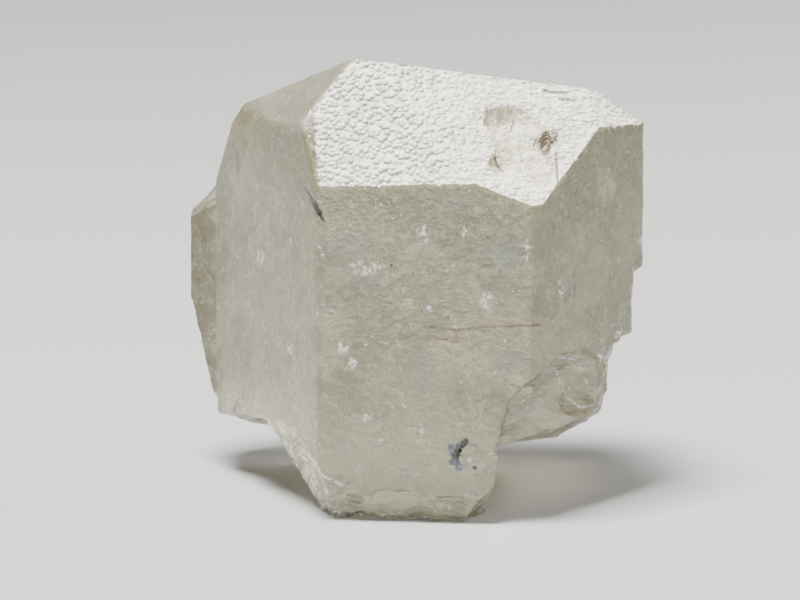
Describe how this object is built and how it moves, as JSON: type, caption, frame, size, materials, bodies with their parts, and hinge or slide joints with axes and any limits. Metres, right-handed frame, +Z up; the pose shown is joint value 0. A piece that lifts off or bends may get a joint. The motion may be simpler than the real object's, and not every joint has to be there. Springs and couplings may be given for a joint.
{
  "type": "phenakite crystal",
  "caption": "Loose milky phenakite crystal, a short hexagonal prism with bevelled top faces and a broken foot, to rest on a surface.",
  "frame": {"origin": "on the surface that the crystal stands on, below the middle of its bounding box", "axes": "+Z up along the prism's edges, -Y towards the front prism face and +X to the right of it"},
  "size_m": [0.024, 0.0194, 0.0235],
  "materials": {
    "crystal": "milky translucent crystal, etched white on the two front top faces, satin on the prism faces"
  },
  "bodies": {
    "root": {"crystal": "crystal"}
  },
  "joints": []
}
